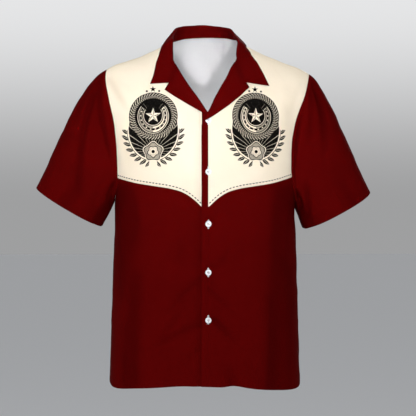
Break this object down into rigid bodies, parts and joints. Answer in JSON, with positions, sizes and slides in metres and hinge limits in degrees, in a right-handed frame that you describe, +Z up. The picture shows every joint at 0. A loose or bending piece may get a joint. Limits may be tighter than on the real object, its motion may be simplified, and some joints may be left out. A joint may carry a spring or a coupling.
{
  "type": "short-sleeve western camp shirt, filled out as worn with no wearer",
  "caption": "Button-front short-sleeve shirt with pointed cream western yokes, a notched camp collar and turned-out lapels, as worn.",
  "frame": {"origin": "between the shoulders, level with the points where the shoulder seams meet the neck, where a wearer carries the shirt", "axes": "+Z up, the shirt's front faces -Y, and the wearer's left is +X"},
  "size_m": [0.6975, 0.2648, 0.7639],
  "materials": {
    "red_cloth": "matt plain-woven dark red cloth",
    "cream_cloth": null,
    "button_white": "glossy white resin"
  },
  "bodies": {
    "root": {"front_right": "red_cloth", "front_left": "red_cloth", "front_yoke_right": "cream_cloth", "front_yoke_left": "cream_cloth", "front_band_right": "red_cloth", "front_band_left": "red_cloth", "back": "red_cloth", "back_yoke": "cream_cloth", "sleeve_right": "red_cloth", "sleeve_left": "red_cloth", "collar": "red_cloth", "lapel_right": "red_cloth", "lapel_left": "red_cloth", "button_1": "button_white", "button_2": "button_white", "button_3": "button_white", "button_4": "button_white", "button_5": "button_white"}
  },
  "joints": []
}
